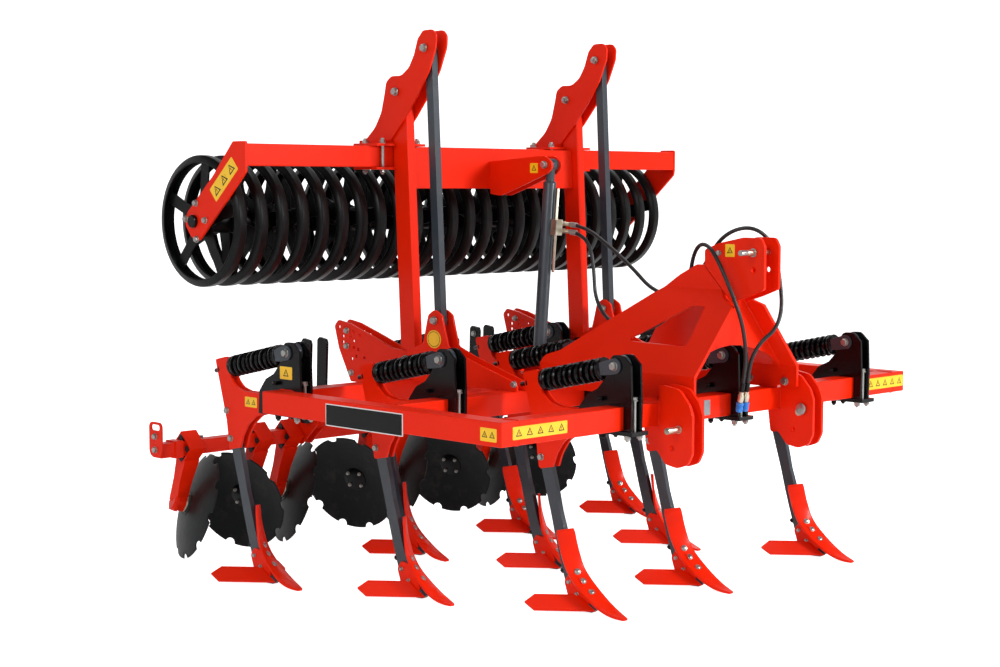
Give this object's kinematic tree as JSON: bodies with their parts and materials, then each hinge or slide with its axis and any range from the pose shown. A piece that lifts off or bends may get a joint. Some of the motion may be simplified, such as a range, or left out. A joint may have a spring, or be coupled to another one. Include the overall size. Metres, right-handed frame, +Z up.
{
  "type": "stubble cultivator",
  "caption": "Tractor-mounted stubble cultivator: beams of square tube with spring-tripped tines and swept wings, a rear gang of notched discs and a ring roller folded up on hydraulic arms.",
  "frame": {"origin": "on the floor under the middle of the machine's length and width", "axes": "+Z up, -Y the way the machine travels (hitch end), +X its left side"},
  "size_m": [3.022, 2.8344, 2.5716],
  "materials": {
    "black_paint": "satin",
    "grey_paint": "satin",
    "plated": "satin",
    "red_paint": "gloss",
    "rubber": "matte",
    "steel": "satin"
  },
  "bodies": {
    "frame": {"beam_front": "red_paint", "beam_mid": "red_paint", "beam_rear": "red_paint", "beam_side_right": "red_paint", "beam_side_left": "red_paint", "beam_centre": "red_paint", "headstock_right": "red_paint", "headstock_left": "red_paint", "headstock_web": "red_paint", "toplink_plates": "red_paint", "hitch_right": "red_paint", "hitch_left": "red_paint", "arm_mount_right": "red_paint", "arm_mount_left": "red_paint", "cylinder_lugs": "red_paint", "tine_holders": "red_paint", "tine_shares": "red_paint", "gang_carriers": "red_paint", "wing_brackets": "red_paint", "tine_wings": "red_paint", "gang_arms": "red_paint", "gang_tube": "red_paint", "gang_ends": "red_paint", "hitch_pins": "plated", "hinge_pins": "plated", "disc_hubs": "plated", "tine_clamps": "black_paint", "spring_units": "black_paint", "gang_ears": "black_paint", "tine_shanks": "grey_paint", "gang_rubbers": "rubber", "hose_upper": "rubber", "hose_lower": "rubber", "hose_couplers": "plated"},
    "lift_arms": {"mast_right": "red_paint", "mast_left": "red_paint", "mast_crossbar": "red_paint", "cylinder_fork": "red_paint", "fork_pin": "plated"},
    "upper_links": {"upper_link_right": "grey_paint", "upper_link_left": "grey_paint"},
    "roller_frame": {"roller_beam": "red_paint", "roller_bracket_right": "red_paint", "roller_bracket_left": "red_paint", "roller_end_plates": "red_paint", "roller_bearings": "grey_paint", "roller_pins": "plated"},
    "roller": {"roller_drum": "black_paint"},
    "ram_barrel": {"cylinder_barrel": "grey_paint", "valve_block": "plated"},
    "ram_rod": {"cylinder_rod": "steel"},
    "disc_1": {"disc_1": "grey_paint"},
    "disc_2": {"disc_2": "grey_paint"},
    "disc_3": {"disc_3": "grey_paint"},
    "disc_4": {"disc_4": "grey_paint"},
    "disc_5": {"disc_5": "grey_paint"},
    "disc_6": {"disc_6": "grey_paint"},
    "disc_7": {"disc_7": "grey_paint"},
    "disc_8": {"disc_8": "grey_paint"}
  },
  "joints": [
    {"name": "lift", "type": "hinge", "parent": "frame", "child": "lift_arms", "pos_m": [0, 0.2575, 1.019], "axis": [-1, 0, 0], "range_deg": [0, 84]},
    {"name": "link_swing", "type": "hinge", "parent": "frame", "child": "upper_links", "pos_m": [0, 0.0565, 1.216], "axis": [-1, 0, 0], "range_deg": [0, 84]},
    {"name": "roller_frame_swing", "type": "hinge", "parent": "lift_arms", "child": "roller_frame", "pos_m": [0, 0.3255, 2.291], "axis": [1, 0, 0], "range_deg": [0, 84]},
    {"name": "roller_spin", "type": "hinge", "parent": "roller_frame", "child": "roller", "pos_m": [0, 0.7565, 1.68], "axis": [1, 0, 0], "continuous": true},
    {"name": "ram_swing", "type": "hinge", "parent": "lift_arms", "child": "ram_barrel", "pos_m": [0, -0.0895, 1.949], "axis": [1, 0, 0], "range_deg": [0, 12.5]},
    {"name": "ram_stroke", "type": "slide", "parent": "ram_barrel", "child": "ram_rod", "axis": [0, 0.0776, -0.997], "range_m": [0, 0.29]},
    {"name": "disc_1_spin", "type": "hinge", "parent": "frame", "child": "disc_1", "pos_m": [-1.204, 1.1645, 0.262], "axis": [0.8907, -0.3348, -0.3074], "continuous": true},
    {"name": "disc_2_spin", "type": "hinge", "parent": "frame", "child": "disc_2", "pos_m": [-0.96, 1.1645, 0.262], "axis": [-0.8907, -0.3348, -0.3074], "continuous": true},
    {"name": "disc_3_spin", "type": "hinge", "parent": "frame", "child": "disc_3", "pos_m": [-0.59, 1.1645, 0.262], "axis": [0.8907, -0.3348, -0.3074], "continuous": true},
    {"name": "disc_4_spin", "type": "hinge", "parent": "frame", "child": "disc_4", "pos_m": [-0.21, 1.1645, 0.262], "axis": [-0.8907, -0.3348, -0.3074], "continuous": true},
    {"name": "disc_5_spin", "type": "hinge", "parent": "frame", "child": "disc_5", "pos_m": [0.184, 1.1645, 0.262], "axis": [0.8907, -0.3348, -0.3074], "continuous": true},
    {"name": "disc_6_spin", "type": "hinge", "parent": "frame", "child": "disc_6", "pos_m": [0.496, 1.1645, 0.262], "axis": [-0.8907, -0.3348, -0.3074], "continuous": true},
    {"name": "disc_7_spin", "type": "hinge", "parent": "frame", "child": "disc_7", "pos_m": [0.886, 1.1645, 0.262], "axis": [0.8907, -0.3348, -0.3074], "continuous": true},
    {"name": "disc_8_spin", "type": "hinge", "parent": "frame", "child": "disc_8", "pos_m": [1.204, 1.1645, 0.262], "axis": [-0.8907, -0.3348, -0.3074], "continuous": true}
  ],
  "couplings": [
    {"joint": "link_swing", "follows": "lift", "ratio": 1},
    {"joint": "roller_frame_swing", "follows": "lift", "ratio": 1},
    {"joint": "ram_swing", "follows": "lift", "ratio": 0.141},
    {"joint": "ram_stroke", "follows": "lift", "m_per_rad": 0.1964}
  ]
}
